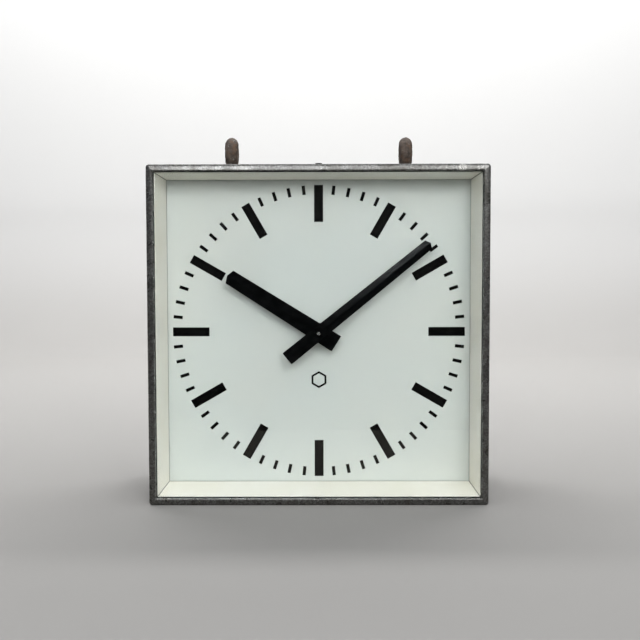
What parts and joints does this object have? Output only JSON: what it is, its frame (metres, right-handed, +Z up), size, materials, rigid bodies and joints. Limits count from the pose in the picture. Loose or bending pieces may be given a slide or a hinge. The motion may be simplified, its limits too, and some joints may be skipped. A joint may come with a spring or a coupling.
{
  "type": "double-sided square slave clock",
  "caption": "Square double-faced hanging clock with a grey hammered steel case, pale bar dials behind glass and blunt black hands, hung by forged eyes.",
  "frame": {"origin": "centre of the underside of the case, midway between the two faces", "axes": "+Z up, +X to the right of the front dial, -Y out of the front dial; the rear dial faces +Y"},
  "size_m": [0.42, 0.21, 0.46],
  "materials": {
    "case_paint": "hammered grey enamel on sheet steel, worn at the edges",
    "seal_rubber": "black rubber",
    "clear_glass": "clear window glass",
    "reveal_paint": "aged cream satin paint",
    "dial_enamel": "pale green-grey satin enamel",
    "dial_ink": "black printed ink",
    "hand_black": "semi-gloss black paint on folded sheet",
    "dark_steel": "dulled dark steel",
    "plate_zinc": "yellowed zinc plating",
    "bright_steel": "turned bright steel",
    "wheel_brass": "milled brass",
    "magnet_grey": "sintered magnet",
    "stator_iron": "plain soft iron",
    "coil_copper": "varnished copper winding",
    "screw_dark": "painted-over steel screws",
    "forged_iron": "rusty forged iron",
    "terminal_bakelite": "brown moulded terminal block"
  },
  "bodies": {
    "housing": {"case_body": "case_paint", "front_bezel": "case_paint", "rear_bezel": "case_paint", "front_glass_seal": "seal_rubber", "rear_glass_seal": "seal_rubber", "front_glass": "clear_glass", "rear_glass": "clear_glass", "front_reveal": "reveal_paint", "rear_reveal": "reveal_paint", "front_dial": "dial_enamel", "rear_dial": "dial_enamel", "front_dial_print": "dial_ink", "rear_dial_print": "dial_ink", "front_base_plate": "plate_zinc", "rear_base_plate": "plate_zinc", "front_top_plate": "plate_zinc", "rear_top_plate": "plate_zinc", "front_stator": "stator_iron", "rear_stator": "stator_iron", "front_impulse_coil": "coil_copper", "rear_impulse_coil": "coil_copper", "movement_pillars": "bright_steel", "movement_screws": "bright_steel", "rail_bolts": "bright_steel", "mounting_rail": "plate_zinc", "case_screws": "screw_dark", "dial_screws": "bright_steel", "hanger_bar": "plate_zinc", "hanging_eye_left": "forged_iron", "hanging_eye_right": "forged_iron", "eye_washers": "bright_steel", "eye_nuts": "bright_steel", "cable_grommet": "seal_rubber", "terminal_block": "terminal_bakelite"},
    "front_minute": {"front_centre_arbor": "bright_steel", "front_centre_wheel": "wheel_brass", "front_cannon_pinion": "wheel_brass", "front_minute_collet": "dark_steel", "front_minute_hand": "hand_black", "front_hand_nut": "dark_steel"},
    "front_hour": {"front_hour_wheel": "wheel_brass", "front_hour_collet": "dark_steel", "front_hour_hand": "hand_black"},
    "front_motion": {"front_motion_wheel": "wheel_brass"},
    "front_intermediate": {"front_intermediate_wheel": "wheel_brass"},
    "front_rotor": {"front_rotor_arbor": "bright_steel", "front_rotor_magnet": "magnet_grey"},
    "rear_minute": {"rear_centre_arbor": "bright_steel", "rear_centre_wheel": "wheel_brass", "rear_cannon_pinion": "wheel_brass", "rear_minute_collet": "dark_steel", "rear_minute_hand": "hand_black", "rear_hand_nut": "dark_steel"},
    "rear_hour": {"rear_hour_wheel": "wheel_brass", "rear_hour_collet": "dark_steel", "rear_hour_hand": "hand_black"},
    "rear_motion": {"rear_motion_wheel": "wheel_brass"},
    "rear_intermediate": {"rear_intermediate_wheel": "wheel_brass"},
    "rear_rotor": {"rear_rotor_arbor": "bright_steel", "rear_rotor_magnet": "magnet_grey"}
  },
  "joints": [
    {"name": "front_minute_turn", "type": "hinge", "parent": "housing", "child": "front_minute", "pos_m": [0, -0.045, 0.21], "axis": [0, 1, 0], "continuous": true},
    {"name": "front_hour_turn", "type": "hinge", "parent": "housing", "child": "front_hour", "pos_m": [0, -0.045, 0.21], "axis": [0, 1, 0], "continuous": true},
    {"name": "front_motion_turn", "type": "hinge", "parent": "housing", "child": "front_motion", "pos_m": [0, -0.045, 0.234], "axis": [0, 1, 0], "continuous": true},
    {"name": "front_intermediate_turn", "type": "hinge", "parent": "housing", "child": "front_intermediate", "pos_m": [0, -0.045, 0.1884], "axis": [0, 1, 0], "continuous": true},
    {"name": "front_rotor_turn", "type": "hinge", "parent": "housing", "child": "front_rotor", "pos_m": [0, -0.045, 0.1709], "axis": [0, 1, 0], "continuous": true},
    {"name": "rear_minute_turn", "type": "hinge", "parent": "housing", "child": "rear_minute", "pos_m": [0, 0.045, 0.21], "axis": [0, -1, 0], "continuous": true},
    {"name": "rear_hour_turn", "type": "hinge", "parent": "housing", "child": "rear_hour", "pos_m": [0, 0.045, 0.21], "axis": [0, -1, 0], "continuous": true},
    {"name": "rear_motion_turn", "type": "hinge", "parent": "housing", "child": "rear_motion", "pos_m": [0, 0.045, 0.234], "axis": [0, -1, 0], "continuous": true},
    {"name": "rear_intermediate_turn", "type": "hinge", "parent": "housing", "child": "rear_intermediate", "pos_m": [0, 0.045, 0.1884], "axis": [0, -1, 0], "continuous": true},
    {"name": "rear_rotor_turn", "type": "hinge", "parent": "housing", "child": "rear_rotor", "pos_m": [0, 0.045, 0.1709], "axis": [0, -1, 0], "continuous": true}
  ],
  "couplings": [
    {"joint": "front_hour_turn", "follows": "front_minute_turn", "ratio": 0.083333},
    {"joint": "front_motion_turn", "follows": "front_minute_turn", "ratio": -0.33333},
    {"joint": "front_intermediate_turn", "follows": "front_minute_turn", "ratio": -5},
    {"joint": "front_rotor_turn", "follows": "front_minute_turn", "ratio": 30},
    {"joint": "rear_minute_turn", "follows": "front_minute_turn", "ratio": 1},
    {"joint": "rear_hour_turn", "follows": "front_minute_turn", "ratio": 0.083333},
    {"joint": "rear_motion_turn", "follows": "front_minute_turn", "ratio": -0.33333},
    {"joint": "rear_intermediate_turn", "follows": "front_minute_turn", "ratio": -5},
    {"joint": "rear_rotor_turn", "follows": "front_minute_turn", "ratio": 30}
  ]
}
